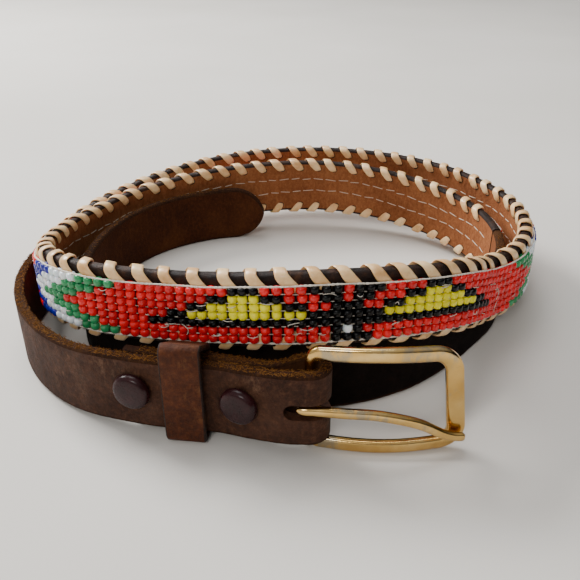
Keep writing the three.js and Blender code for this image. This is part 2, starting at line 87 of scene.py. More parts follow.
HOLE_DIAMETER = 4.0
HOLE_COUNT = 5
HOLE_SPACING = 22.0
HOLE_FROM_TIP = 100.0
SNAP_DIAMETER = 10.6
SNAP_HEIGHT = 2.7
SNAPS = [("snap_near_buckle", 17.8, 0.53), ("snap_far", 47.4, 0.56)]

HALF = LEATHER / 2
MIDDLE = WIDTH / 2
FOLD_LIFT = BUCKLE_BELLY + BAR_WIDTH + CLEAR
LAYERS = LEATHER + CLEAR
FOLD_RADIUS = HEEL_DIAMETER / 2 + HEEL_CLEAR + HALF

rng = random.Random(7)

# The coil. turn: degrees round it from the front, going left. gap: free space
# to the turn inside, a share of COIL_REACH. lift: lower edge above the table,
# a share of FOLD_LIFT in the buckle end and of WIDTH elsewhere.
BUCKLE_END = [
    (-15, 0.118, 1.03), (0, 0.097, 0.97), (7, 0.073, 0.7), (15, 0.06, 0.5),
    (30, 0.09, 0.47), (45, 0.047, 0.1),
]
OUTER_AND_MIDDLE = [
    (60, 0.036, 0), (75, 0.028, 0.005), (90, 0.01, 0.035), (105, 0.014, 0.09),
    (120, 0.02, 0.145), (135, 0.05, 0.21), (165, 0.128, 0.31), (195, 0.137, 0.35),
    (225, 0.097, 0.335), (240, 0.058, 0.32), (255, 0.036, 0.31),
    (270, 0.038, 0.325), (285, 0.03, 0.38), (300, 0.025, 0.51), (315, 0.053, 0.8),
    (330, 0.048, 0.985), (345, 0.036, 1.075), (360, 0.04, 1.11), (375, 0.024, 1),
    (390, 0.016, 0.92), (405, 0.046, 0.915), (420, 0.05, 0.75), (435, 0.062, 0.5),
    (450, 0.052, 0.335), (465, 0.034, 0.24), (480, 0.028, 0.225), (495, 0.018, 0.26),
    (510, 0.02, 0.31), (525, 0.043, 0.345),
]
# The innermost turn. reach: a share of COIL_REACH. splay: how far the lower
# edge stands out beyond the upper one, a share of WIDTH.
INNER = [
    (540, 0.727, 0.365, 0), (555, 0.751, 0.355, 0), (570, 0.789, 0.305, 0),
    (585, 0.836, 0.225, 0), (600, 0.875, 0.14, 0), (615, 0.883, 0.09, 0),
    (630, 0.858, 0.025, 0), (645, 0.794, 0, 0.11), (660, 0.724, 0, 0.18),
    (675, 0.7, 0, 0.2), (690, 0.698, 0, 0.2), (705, 0.698, 0, 0.18),
    (720, 0.7, 0, 0.13), (735, 0.698, 0, 0.07), (750, 0.732, 0, 0),
    (765, 0.8, 0, 0), (780, 0.832, 0, 0), (810, 0.795, 0, 0), (840, 0.754, 0, 0),
    (870, 0.676, 0, 0), (900, 0.58, 0, 0),
]


def through(places, values, at):
    """A smooth curve through rows, as in the part."""
    x = np.asarray(places, float)
    y = np.asarray(values, float)
    at = np.asarray(at, float)
    slope = np.empty_like(y)
    slope[1:-1] = (y[2:] - y[:-2]) / (x[2:] - x[:-2])
    slope[0] = (y[1] - y[0]) / (x[1] - x[0])
    slope[-1] = (y[-1] - y[-2]) / (x[-1] - x[-2])
    i = np.clip(np.searchsorted(x, at, side="left") - 1, 0, len(x) - 2)
    w = x[i + 1] - x[i]
    t = np.clip((at - x[i]) / w, 0, 1)
    t2, t3 = t * t, t * t * t
    return (y[i] * (2 * t3 - 3 * t2 + 1) + y[i + 1] * (3 * t2 - 2 * t3)
            + w * (slope[i] * (t3 - 2 * t2 + t) + slope[i + 1] * (t3 - t2)))


def curves(table, count):
    """A table's columns as smooth curves through its rows, each of count points."""
    rows = np.array(table)
    fine = np.linspace(0, len(rows) - 1, count)
    return [through(range(len(rows)), column, fine) for column in rows.T]


def unit(rows):
    return rows / np.linalg.norm(rows, axis=1)[:, None]


def around(count, start=0):
    """Angles evenly round a circle."""
    return (np.arange(count) + start) * 2 * np.pi / count


def smoothstep(x, lo, hi):
    t = np.clip((np.asarray(x, float) - lo) / (hi - lo), 0, 1)
    return t * t * (3 - 2 * t)


class Coil:
    """The belt's own space: s along it, u outward from its middle, v up from its lower edge."""

    def __init__(self):
        over_plain = LEATHER + LACE_CLEAR + LACE_THICK
        over_beads = over_plain + CLEAR + PANEL_THICK
        turns = [r[0] for r in INNER]
        reach = [r[1] * COIL_REACH for r in INNER]
        for turn, gap, _ in reversed(BUCKLE_END + OUTER_AND_MIDDLE):
            stack = over_beads if turn + 360 < BEADS_TO else over_plain
            inside = float(through(turns, reach, turn + 360))
            turns.insert(0, turn)
            reach.insert(0, inside + stack + gap * COIL_REACH)
        lifts = [r[2] * FOLD_LIFT for r in BUCKLE_END]
        lifts += [r[2] * WIDTH for r in OUTER_AND_MIDDLE + INNER]
        splays = [0] * (len(turns) - len(INNER)) + [r[3] for r in INNER]
        self.turn = np.arange(FOLD_TURN, TIP_AT + 0.125, 0.25)
        r = through(turns, reach, self.turn)
        a = np.radians(self.turn)
        x, y = -r * np.sin(a), -r * np.cos(a)
        z = np.maximum(through(turns, lifts, self.turn), 0)
        self.s = np.concatenate([[0], np.cumsum(np.hypot(np.diff(x), np.diff(y)))])
        on = np.stack([np.gradient(x), np.gradient(y)], 1)
        kernel = np.ones(9) / 9
        on = np.stack([np.convolve(np.pad(c, 4, mode="edge"), kernel, "valid") for c in on.T], 1)
        self.xyz = np.stack([x, y, z], 1)
        self.on = unit(on)
        self.rise = np.gradient(z) / np.gradient(self.s)
        self.splay = np.maximum(through(turns, splays, self.turn), 0)
        self.length = float(self.s[-1])
        self.shift = np.zeros(3)

    def along(self, turn):
        return float(np.interp(turn, self.turn, self.s))

    def frames(self, s):
        """Places, ways on and ways out at the distances s."""
        s = np.atleast_1d(np.asarray(s, float))
        p = np.stack([np.interp(s, self.s, self.xyz[:, k]) for k in range(3)], 1) + self.shift
        on = unit(np.stack([np.interp(s, self.s, self.on[:, k]) for k in range(2)], 1))
        out = np.stack([-on[:, 1], on[:, 0], np.zeros(len(s))], 1)
        on3 = np.stack([on[:, 0], on[:, 1], np.interp(s, self.s, self.rise)], 1)
        return p, unit(on3), out

    def place(self, s, u, v):
        """Points at (s, u, v), in metres."""
        s, u, v = np.broadcast_arrays(np.asarray(s, float), u, v)
        shape = s.shape
        s, u, v = s.ravel(), u.ravel().astype(float), v.ravel().astype(float)
        p, _, out = self.frames(np.clip(s, 0, self.length))
        away = u + np.interp(s, self.s, self.splay) * (WIDTH - v)
        q = p + out * away[:, None]
        q[:, 2] += v
        return (q * MM).reshape(shape + (3,))


def at_fold():
    """Place, way on and way out where the fold begins, and the heel bar's middle."""
    p, on, out = (x[0] for x in coil.frames([0]))
    return p, on, out, p - out * FOLD_RADIUS


coil = Coil()
heel = at_fold()[3]
hinge = next(j for j in frame["record"]["behaviour"]["joints"] if j["name"] == "buckle_swing")
hinge_at = np.array(hinge["pos_m"]) / MM
coil.shift = np.array([hinge_at[0] - heel[0], hinge_at[1] - heel[1], 0.0])
fold_p, fold_on, fold_out, heel = at_fold()
beads_start = coil.along(BEADS_FROM)
beads_end = coil.along(BEADS_TO)
beadwork_start = beads_start + PANEL_INSET + BEAD_MARGIN
beadwork_end = beads_end - PANEL_INSET - BEAD_MARGIN


# Meshes

SHARP = 50.0              # degrees; a sharper edge isn't shaded smooth


def ripple(x, seed, wave, size):
    """A smooth, seeded wander along x."""
    r = np.random.default_rng(seed)
    x = np.asarray(x, float)
    total = np.zeros_like(x)
    for _ in range(5):
        total += np.sin(x * 2 * np.pi / (wave * r.uniform(0.55, 1.9)) + r.uniform(0, 6.28))
    return total * size / 3


def linked(name, data):
    obj = bpy.data.objects.new(name, data)
    bpy.context.scene.collection.objects.link(obj)
    return obj


def face_outward(mesh):
    bm = bmesh.new()
    bm.from_mesh(mesh)
    bmesh.ops.recalc_face_normals(bm, faces=bm.faces)
    bm.to_mesh(mesh)
    bm.free()


def shade(mesh, sharp):
    """Smooth shading, with edges past so many degrees kept sharp."""
    mesh.shade_smooth()
    if sharp:
        mesh.set_sharp_from_angle(angle=math.radians(sharp))


def piece(name, verts, faces, mats, body, face_mats=None, smooth_angle=SHARP):
    mesh = bpy.data.meshes.new(name)
    mesh.from_pydata(np.asarray(verts).reshape(-1, 3).tolist(), [], faces)
    mats = mats if isinstance(mats, (list, tuple)) else [mats]
    for m in mats:
        mesh.materials.append(m)
    if face_mats is not None:
        mesh.polygons.foreach_set("material_index", face_mats)
    mesh.validate()
    face_outward(mesh)
    shade(mesh, smooth_angle)
    obj = linked(name, mesh)
    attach(obj, body)
    return obj


def grid_faces(rows, cols, wrap_rows=False, base=0):
    """Quads over a grid of points, rows by cols, closed round its columns."""
    faces = []
    for i in range(rows if wrap_rows else rows - 1):
        a, b = base + i * cols, base + ((i + 1) % rows) * cols
        for j in range(cols):
            k = (j + 1) % cols
            faces.append((a + j, b + j, b + k, a + k))
    return faces


def caps(rows, cols, base=0):
    last = base + (rows - 1) * cols
    return [tuple(base + j for j in range(cols)), tuple(last + j for j in reversed(range(cols)))]


def tubes(paths, radius, sides=6):
    """Verts and faces of round strands along lists of points."""
    verts, faces = [], []
    for path in paths:
        p = np.asarray(path)
        t = np.gradient(p, axis=0)
        t /= np.linalg.norm(t, axis=1)[:, None] + 1e-12
        side = np.cross(t, [0, 0, 1.0])
        weak = np.linalg.norm(side, axis=1) < 0.2
        side[weak] = np.cross(t[weak], [1.0, 0, 0])
        side = unit(side)
        up = np.cross(side, t)
        a = around(sides)
        ring = p[:, None] + radius * (side[:, None] * np.cos(a)[:, None]
                                      + up[:, None] * np.sin(a)[:, None])
        base = len(verts)
        verts.extend(ring.reshape(-1, 3).tolist())
        faces += grid_faces(len(p), sides, base=base) + caps(len(p), sides, base)
    return verts, faces


# Materials


def srgb(h):
    """A colour written as six hex digits, as linear values."""
    c = [int(h[i:i + 2], 16) / 255 for i in (0, 2, 4)]
    return tuple(x / 12.92 if x <= 0.04045 else ((x + 0.055) / 1.055) ** 2.4 for x in c) + (1.0,)


class Looks:
    """A material whose nodes are added a few at a time."""

    def __init__(self, name):
        self.material = bpy.data.materials.new(name)
        self.material.use_nodes = True
        self.tree = self.material.node_tree
        self.shader = self.tree.nodes["Principled BSDF"]
        self.where = self.node("ShaderNodeTexCoord").outputs["Object"]

    def node(self, kind, **settings):
        n = self.tree.nodes.new(kind)
        for key, value in settings.items():
            if key in n.inputs:
                n.inputs[key].default_value = value
            else:
                setattr(n, key, value)
        return n

    def link(self, a, b):
        self.tree.links.new(a, b)

    def noise(self, scale, detail=4.0, rough=0.6, stretch=None, distort=0.0):
        n = self.node("ShaderNodeTexNoise", Scale=scale, Detail=detail, Roughness=rough,
                      Distortion=distort)
        where = self.where
        if stretch:
            m = self.node("ShaderNodeMapping")
            m.inputs["Scale"].default_value = stretch
            self.link(where, m.inputs["Vector"])
            where = m.outputs["Vector"]
        self.link(where, n.inputs["Vector"])
        return n.outputs["Fac"]

    def cells(self, scale):
        n = self.node("ShaderNodeTexVoronoi", Scale=scale, feature="DISTANCE_TO_EDGE")
        self.link(self.where, n.inputs["Vector"])
        return n.outputs["Distance"]

    def ramp(self, fac, *stops):
        """Each stop is (place, colour as six hex digits or grey level)."""
        n = self.node("ShaderNodeValToRGB")
        e = n.color_ramp.elements
        while len(e) < len(stops):
            e.new(0.5)
        for item, (at, colour) in zip(e, stops):
            item.position = at
            item.color = srgb(colour) if isinstance(colour, str) else (colour,) * 3 + (1,)
        self.link(fac, n.inputs["Fac"])
        return n.outputs["Color"]

    def mix(self, fac, a, b):
        n = self.node("ShaderNodeMix", data_type="RGBA")
        for value, socket in ((fac, n.inputs[0]), (a, n.inputs[6]), (b, n.inputs[7])):
            if isinstance(value, bpy.types.NodeSocket):
                self.link(value, socket)
            else:
                socket.default_value = value
        return n.outputs[2]

    def span(self, fac, lo, hi, frm=(0.3, 0.7)):
        n = self.node("ShaderNodeMapRange")
        n.inputs["From Min"].default_value, n.inputs["From Max"].default_value = frm
        n.inputs["To Min"].default_value, n.inputs["To Max"].default_value = lo, hi
        self.link(fac, n.inputs["Value"])
        return n.outputs["Result"]

    def bump(self, *layers):
        """Each layer is (height, strength, depth in metres)."""
        normal = None
        for height, strength, depth in layers:
            b = self.node("ShaderNodeBump", Strength=strength, Distance=depth)
            self.link(height, b.inputs["Height"])
            if normal:
                self.link(normal, b.inputs["Normal"])
            normal = b.outputs["Normal"]
        self.link(normal, self.shader.inputs["Normal"])

    def set(self, **values):
        for key, value in values.items():
            socket = self.shader.inputs[key.replace("_", " ")]
            if isinstance(value, bpy.types.NodeSocket):
                self.link(value, socket)
            else:
                socket.default_value = value
        return self


def grain_leather(name, dark, mid, light, worn, gloss=(0.8, 0.55), shine=0.22):
    m = Looks(name)
    broad = m.noise(60, 5, 0.62)
    fine = m.noise(640, 8, 0.78)
    streak = m.noise(330, 8, 0.75, stretch=(1, 1, 0.4), distort=0.6)
    scuff = m.noise(150, 9, 0.8, stretch=(1, 1, 0.55))
    pores = m.cells(1100)
    base = m.ramp(broad, (0.3, dark), (0.52, mid), (0.75, light))
    speck = m.ramp(fine, (0.38, dark), (0.53, mid), (0.66, light), (0.8, worn))
    colour = m.mix(0.55, base, speck)
    lines = m.ramp(streak, (0.36, 1), (0.47, 0))
    colour = m.mix(m.mix(0.55, lines, (0, 0, 0, 1)), colour, srgb(dark))
    wear = m.ramp(scuff, (0.55, 0), (0.74, 0.8))
    colour = m.mix(wear, colour, srgb(worn))
    m.set(Base_Color=colour, Roughness=m.span(broad, *gloss), Specular_IOR_Level=shine)
    m.bump((m.noise(180, 5, 0.6), 0.65, 0.0008), (streak, 0.85, 0.0008), (pores, 0.4, 0.0002),
           (fine, 0.9, 0.0004))
    return m.material


def suede(name, dark, mid, light, nap=0.5, scale=1.0, right_side=None):
    """Napped leather; right_side is a paler colour that it takes on towards +X."""
    m = Looks(name)
    broad = m.noise(38 * scale, 4, 0.6)
    nap_noise = m.noise(900 * scale, 8, 0.8, stretch=(1, 1, 0.7))
    streak = m.noise(260 * scale, 6, 0.7, stretch=(1, 1, 0.35))
    base = m.ramp(broad, (0.3, dark), (0.5, mid), (0.72, light))
    speck = m.ramp(nap_noise, (0.34, dark), (0.5, mid), (0.68, light))
    colour = m.mix(0.55, base, speck)
    colour = m.mix(m.ramp(streak, (0.55, 0), (0.78, 0.5)), colour, srgb(light))
    if right_side:
        split = m.node("ShaderNodeSeparateXYZ")
        m.link(m.where, split.inputs["Vector"])
        share = m.span(split.outputs["X"], 0, 1, (0.005, 0.05))
        colour = m.mix(share, colour, m.mix(0.75, colour, srgb(right_side)))
    m.set(Base_Color=colour, Roughness=0.92, Specular_IOR_Level=0.15, Sheen_Weight=nap,
          Sheen_Roughness=0.5, Sheen_Tint=srgb(light))
    m.bump((streak, 0.5, 0.0005), (nap_noise, 0.9, 0.00035))
    return m.material


def glossy_edge(name):
    m = Looks(name)
    broad = m.noise(90, 5, 0.6)
    fine = m.noise(700, 6, 0.75)
    colour = m.ramp(m.noise(240, 7, 0.7), (0.36, "0f0705"), (0.53, "24120a"), (0.7, "4a2c17"))
    m.set(Base_Color=colour, Roughness=m.span(broad, 0.42, 0.75), Specular_IOR_Level=0.25)
    m.bump((m.noise(330, 6, 0.7), 0.9, 0.0007), (fine, 0.9, 0.00035))
    return m.material


def lace_leather():
    m = Looks("lace_cream")
    broad = m.noise(120, 4, 0.6)
    fibre = m.noise(600, 6, 0.7)
    colour = m.ramp(broad, (0.3, "cf9f66"), (0.5, "e6bd88"), (0.7, "f2d2a2"))
    colour = m.mix(m.ramp(fibre, (0.56, 0), (0.75, 0.45)), colour, srgb("b98c60"))
    m.set(Base_Color=colour, Roughness=m.span(broad, 0.26, 0.42), Specular_IOR_Level=0.45,
          Subsurface_Weight=0.12, Subsurface_Scale=0.001, Coat_Weight=0.15, Coat_Roughness=0.35)
    m.bump((m.noise(320, 5, 0.6), 0.35, 0.0002), (fibre, 0.3, 0.0001))
    return m.material


def bead_glass(name, deep, bright, gloss=0.1, shine=0.5):
    m = Looks(name)
    each = m.node("ShaderNodeNewGeometry").outputs["Random Per Island"]
    cloud = m.noise(700, 4, 0.6)
    colour = m.ramp(each, (0.0, deep), (0.55, bright), (1.0, deep))
    colour = m.mix(m.ramp(cloud, (0.42, 0), (0.7, 0.6)), colour, srgb(deep))
    m.set(Base_Color=colour, Roughness=m.span(cloud, gloss, gloss + 0.12), IOR=1.5,
          Specular_IOR_Level=shine, Subsurface_Weight=0.1, Subsurface_Scale=0.0008)
    m.bump((m.noise(1500, 3, 0.6), 0.12, 0.00012))
    return m.material


def thread_white(name="thread_white", tint="e9e2d6"):
    m = Looks(name)
    fuzz = m.noise(2600, 6, 0.75)
    colour = m.ramp(fuzz, (0.35, "b9ab98"), (0.6, tint), (0.8, "fffaf0"))
    m.set(Base_Color=colour, Roughness=0.85, Sheen_Weight=0.3, Specular_IOR_Level=0.2)
    m.bump((fuzz, 0.6, 0.0001))
    return m.material


def gilt(name):
    m = Looks(name)
    broad = m.noise(70, 4, 0.6)
    scratch = m.noise(420, 9, 0.82, stretch=(0.5, 1, 2.2), distort=0.4)
    pits = m.noise(1500, 5, 0.7)
    colour = m.ramp(broad, (0.3, "c29750"), (0.55, "dcb670"), (0.78, "efd39b"))
    worn = m.ramp(scratch, (0.6, 0), (0.68, 0.75))
    colour = m.mix(worn, colour, srgb("86704c"))
    rubbed = m.ramp(m.noise(95, 7, 0.75, stretch=(1, 1, 0.5)), (0.5, 0), (0.58, 0.85))
    colour = m.mix(rubbed, colour, srgb("a89c84"))
    m.set(Base_Color=colour, Metallic=1.0, Roughness=m.span(scratch, 0.1, 0.32, (0.35, 0.75)))
    m.bump((m.noise(260, 4, 0.6), 0.12, 0.0003), (pits, 0.12, 0.00008))
    return m.material


def enamel(name):
    m = Looks(name)
    broad = m.noise(260, 4, 0.6)
    dust = m.noise(1300, 6, 0.75)
    colour = m.ramp(broad, (0.3, "1d090b"), (0.55, "2a1013"), (0.8, "3a1a1b"))
    colour = m.mix(m.ramp(dust, (0.7, 0), (0.85, 0.25)), colour, srgb("5d403a"))
    m.set(Base_Color=colour, Roughness=m.span(dust, 0.22, 0.36),
          Specular_IOR_Level=0.18, Coat_Weight=0.08, Coat_Roughness=0.12)
    m.bump((m.noise(300, 3, 0.5), 0.05, 0.0002))
    return m.material


def floor_plain():
    m = Looks("floor_pale")
    broad = m.noise(6, 3, 0.5)
    m.set(Base_Color=m.ramp(broad, (0.35, "d4d0c9"), (0.65, "dad6d0")),
          Roughness=0.85, Specular_IOR_Level=0.2)
    m.bump((m.noise(900, 4, 0.6), 0.08, 0.0003))
    return m.material


BROWN = grain_leather("leather_brown", "1e0e08", "472919", "6b4631", "8b664e")
BROWN_RAW = suede("leather_raw_edge", "120805", "2e180b", "59381a", 0.15, 1.6)
BROWN_BACK = suede("leather_back", "1f110a", "3c2212", "5a3820", 0.2)
# Painted light: the edge fibres are coloured bright orange, much paler than the raw edge they stand
# on, for the sunlit look of the edge's fuzz.
FIBRE_PAINTED_LIGHT = suede("leather_fibre_painted_light", "42260c", "744819", "a37238", 0.25, 2.0)
EDGE_DARK = glossy_edge("leather_dark_edge")
SUEDE_ORANGE = suede("suede_orange", "5c2f17", "86502f", "a87048", 0.25)
# Painted shade: the tip strap's suede is coloured dark, as it looks in the shade inside the coil;
# towards +X it goes over to the body's own orange suede colour.
TIP_SUEDE_PAINTED_SHADE = suede("suede_tip_painted_shade", "1f0d05", "3a1b0a", "5a3316", 0.2, 1.2, "86502f")
# Painted shade: the tip strap's plain brown leather is coloured near black, as it looks in the shade
# inside the coil.
TIP_PAINTED_SHADE = grain_leather("leather_tip_painted_shade", "0a0504", "130a07", "1f120d", "2b1b14", (0.9, 0.7), 0.1)
KEEPER_BROWN = grain_leather("leather_keeper", "2a1107", "52270f", "74411f", "916037")
LACE = lace_leather()
THREAD = thread_white()
PALE_THREAD = thread_white("thread_pale", "d3bfa8")
GILT = gilt("gilt_worn")
ENAMEL = enamel("enamel_plum")
# Seed beads by the chart's letters: name, deep and bright colour, gloss and shine.
BEADS = {
    "R": ("red", "c00a10", "ee151b"), "K": ("black", "020203", "050507", 0.12, 0.25),
    "Y": ("yellow", "d8cb05", "f6ee10"), "G": ("green", "1c7a45", "349a60"),
    "W": ("white", "d3dde4", "f2f6f8"), "B": ("blue", "0a1070", "161fa0"),
}
GLASS = {letter: bead_glass("bead_" + row[0], *row[1:]) for letter, row in BEADS.items()}


# Leather lengths

OUTSIDE, EDGE, INSIDE = 0, 1, 2
FACE_STEPS = 8
CORNER_STEPS = 5
STEP = 1.5                # from one section of the leather to the next
FOLD_STEP = 1.4           # the same in the buckle strap
FOLD_SECTIONS = 22
CLOSES_OVER = 14.0        # the fold lies flat after this
CUTTER_REACH = 12.0
HOLE_SIDES = 24
TIP_BLUNT = 0.55          # lower is a blunter tip
TIP_LEAST = 1.2           # half its height at the very end
TIP_SECTIONS = 16


def leather_ring(reach=MIDDLE, round_edge=1.15):
    """Section points [out, up], and which face each of its sides is."""
    r = min(round_edge, HALF * 0.95, reach * 0.6)
    lo, hi = MIDDLE - reach, MIDDLE + reach
    pts, kinds = [], []

    def face(u, start, way, kind):
        for t in np.linspace(0, 1, FACE_STEPS + 1)[:-1]:
            pts.append((u, start + way * (hi - lo - 2 * r) * t))
            kinds.append(kind)

    def corner(quarter, u, v):
        ends = quarter * np.pi / 2, (quarter + 1) * np.pi / 2
        for a in np.linspace(*ends, CORNER_STEPS + 1)[:-1]:
            pts.append((u + r * np.cos(a), v + r * np.sin(a)))
            kinds.append(EDGE)

    face(HALF, lo + r, 1, OUTSIDE)
    corner(0, HALF - r, hi - r)
    corner(1, r - HALF, hi - r)
    face(-HALF, hi - r, -1, INSIDE)
    corner(2, r - HALF, lo + r)
    corner(3, HALF - r, lo + r)
    return np.array(pts), kinds


def roughen(ring, s, seed, size=0.05, edge=0.1):
    """A section made a little uneven, kept inside its true size."""
    u = ring[:, 0] - np.sign(ring[:, 0]) * np.abs(ripple(s + 3 * ring[:, 1], seed, 17, size))
    near = smoothstep(np.abs(ring[:, 1] - MIDDLE), MIDDLE - 2, MIDDLE)
    inset = near * np.abs(ripple(s + 40 * ring[:, 0], seed + 1, 9, edge))
    v = ring[:, 1] - np.sign(ring[:, 1] - MIDDLE) * inset
    return np.stack([u, v], 1)


def leather_piece(name, rings, kinds, mats):
    rows, cols = len(rings), len(kinds)
    faces = grid_faces(rows, cols) + caps(rows, cols)
    which = kinds * (rows - 1) + [EDGE] * 2
    return piece(name, np.array(rings), faces, mats, "strap", which)


def leather_length(name, stations, reaches, mats, seed, size=0.05, edge=0.1):
    rings, kinds = [], None
    for s, reach in zip(stations, reaches):
        ring, kinds = leather_ring(reach)
        ring = roughen(ring, s, seed, size, edge)
        rings.append(coil.place(np.full(len(ring), s), ring[:, 0], ring[:, 1]))
    return leather_piece(name, rings, kinds, mats)


def cut(obj, cutters):
    """Cuts solids out of a piece, shades it again and removes the solids."""
    for cutter in cutters:
        mod = obj.modifiers.new("cut", "BOOLEAN")
        mod.operation = "DIFFERENCE"
        mod.solver = "EXACT"
        mod.object = cutter
    deps = bpy.context.evaluated_depsgraph_get()
    mesh = bpy.data.meshes.new_from_object(obj.evaluated_get(deps))
    obj.modifiers.clear()
    old = obj.data
    obj.data = mesh
    shade(mesh, SHARP)
    bpy.data.meshes.remove(old)
    for cutter in cutters:
        bpy.data.objects.remove(cutter)


def rod(name, at, axis, radius, length):
    """A plain round bar, for cutting with."""
    bm = bmesh.new()
    bmesh.ops.create_cone(bm, cap_ends=True, segments=HOLE_SIDES, radius1=radius * MM,
                          radius2=radius * MM, depth=length * MM)
    turn = Vector((0, 0, 1)).rotation_difference(Vector(axis))
    bmesh.ops.rotate(bm, verts=bm.verts, matrix=turn.to_matrix())
    bmesh.ops.translate(bm, verts=bm.verts, vec=Vector(at) * MM)
    mesh = bpy.data.meshes.new(name)
    bm.to_mesh(mesh)
    bm.free()
    return linked(name, mesh)


def buckle_path():
    """Places, ways out and distances for the buckle strap: front, fold and back."""
    front = np.arange(beads_start - CLEAR / 2, 0, -FOLD_STEP)
    front_p, _, front_out = coil.frames(front)
    level_on = fold_on * [1, 1, 0]
    a = np.linspace(0, np.pi, FOLD_SECTIONS)
    way = np.outer(np.cos(a), fold_out) - np.outer(np.sin(a), level_on)
    back = np.concatenate([np.linspace(0.8, CLOSES_OVER, 12),
                           np.arange(CLOSES_OVER + 1.3, FOLD_BACK, FOLD_STEP)])
    back_p, _, back_out = coil.frames(back)
    closed = smoothstep(back, 0, CLOSES_OVER)
    behind = 2 * FOLD_RADIUS + (LAYERS - 2 * FOLD_RADIUS) * closed
    places = [front_p, heel + way * FOLD_RADIUS, back_p - back_out * behind[:, None]]
    runs = [front, -a * FOLD_RADIUS, -np.pi * FOLD_RADIUS - back]
    return (np.concatenate(places), np.concatenate([front_out, way, -back_out]),
            np.concatenate(runs))


PLACES, OUTS, RUNS = buckle_path()


def make_buckle_strap():
    rings, kinds = [], None
    for p, out, run in zip(PLACES, OUTS, RUNS):
        ring, kinds = leather_ring(round_edge=1.0)
        ring = roughen(ring, run + 200, 31, 0.05, 0.16)
        q = p + out * ring[:, :1]
        q[:, 2] += ring[:, 1]
        rings.append(q * MM)
    obj = leather_piece("strap_front", rings, kinds, [BROWN, BROWN_RAW, BROWN_BACK])
    slot_end = heel + np.array([SLOT_HEIGHT / 2 - SLOT_BEYOND, 0, MIDDLE - SLOT_DROP])
    r = SLOT_HEIGHT / 2
    outline = [(slot_end[0] + r * math.cos(a), slot_end[2] + r * math.sin(a))
               for a in np.linspace(np.pi / 2, 1.5 * np.pi, 13)]
    outline += [(heel[0] + CUTTER_REACH, slot_end[2] + side) for side in (-r, r)]
    verts = [(x * MM, (heel[1] + y) * MM, z * MM)
             for y in (-CUTTER_REACH, CUTTER_REACH) for x, z in outline]
    n = len(outline)
    cutter_mesh = bpy.data.meshes.new("slot_cutter")
    cutter_mesh.from_pydata(verts, [], grid_faces(2, n) + caps(2, n))
    face_outward(cutter_mesh)
    cut(obj, [linked("slot_cutter", cutter_mesh)])
    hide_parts("buckle_strap")


def make_body():
    s = np.arange(beads_start, beads_end + CLEAR, STEP)
    obj = leather_length("strap_beaded", s, [MIDDLE] * len(s),
                         [EDGE_DARK, EDGE_DARK, SUEDE_ORANGE], 41)
    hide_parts("belt_body")


def make_tip():
    s = list(np.arange(beads_end + CLEAR, coil.length - TIP_TAPER, STEP))
    reaches = [MIDDLE] * len(s)
    for t in np.linspace(0.06, 1, TIP_SECTIONS):
        s.append(coil.length - TIP_TAPER * (1 - t * 0.999))
        reaches.append(max(MIDDLE * (1 - t * t) ** TIP_BLUNT, TIP_LEAST))
    # The tip's outside and suede colours are painted shade.
    obj = leather_length("strap_tip", s, reaches, [TIP_PAINTED_SHADE, BROWN_RAW, TIP_SUEDE_PAINTED_SHADE],
                         53, size=0.06, edge=0.14)
    holes = []
    for i in range(HOLE_COUNT):
        p, _, out = coil.frames([coil.length - HOLE_FROM_TIP - i * HOLE_SPACING])
        holes.append(rod("hole", p[0] + [0, 0, MIDDLE], out[0], HOLE_DIAMETER / 2, CUTTER_REACH))
    cut(obj, holes)
    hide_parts("tip_strap")


# Beadwork

ROWS = 7
ROW_PITCH = 2.37
COLUMN_PITCH = 2.86
BEAD_RADIUS = 1.41
BEAD_HALF_LENGTH = 1.19
BEAD_BORE = 0.48
BEAD_SIDES = 10
SHORT_SIDE = 28           # columns from a bird's middle to the chevrons' points
LOOSE_PICKS = 150         # short ends of weft thread that stand up
BIRD_AT = 348.0           # degrees of turn at the middle of the front bird
REPEAT = 100              # columns from one bird to the next
LONGER_SIDE = 3           # columns more of red between bird and chevrons on one side
# One bird, upside down, from its middle column outward on both sides: each
# run is a colour and the last column it reaches.
BIRD = {
    1: "R0 K3 R7 K10", 2: "R0 K2 R5 K7 Y10 K12", 3: "K1 R3 K5 Y12 K14",
    4: "K3 Y14 K16", 5: "K18", 6: "W0 K1", 7: "K1",
}
CHEVRONS = "GGGGWWWWBBBB"
# Loose ends of thread on the front of the beadwork, as distance along the
# belt from the bird, height, sideways reach and hang.
LOOSE_FROM_BIRD = [(43.0, 8.4, -2.2, 3.4), (44.5, 8.2, 3.0, 0.6), (-57.0, 13.5, -2.4, 5.0),
                   (-60.0, 8.0, 2.0, 3.6), (12.0, 9.2, 2.6, 1.2), (-14.0, 7.6, 2.2, 0.8)]


def bead_colour(row, column):
    c = (column + REPEAT // 2) % REPEAT - REPEAT // 2
    if row == ROWS and c == 2:
        return "K"
    for run in BIRD[row].split():
        if abs(c) <= int(run[1:]):
            return run[0]
    steps = abs(c) - (SHORT_SIDE - 2 * abs(row - 4)) - (LONGER_SIDE if c > 0 else 0)
    if 0 <= steps < len(CHEVRONS):
        return CHEVRONS[steps]
    return "R"


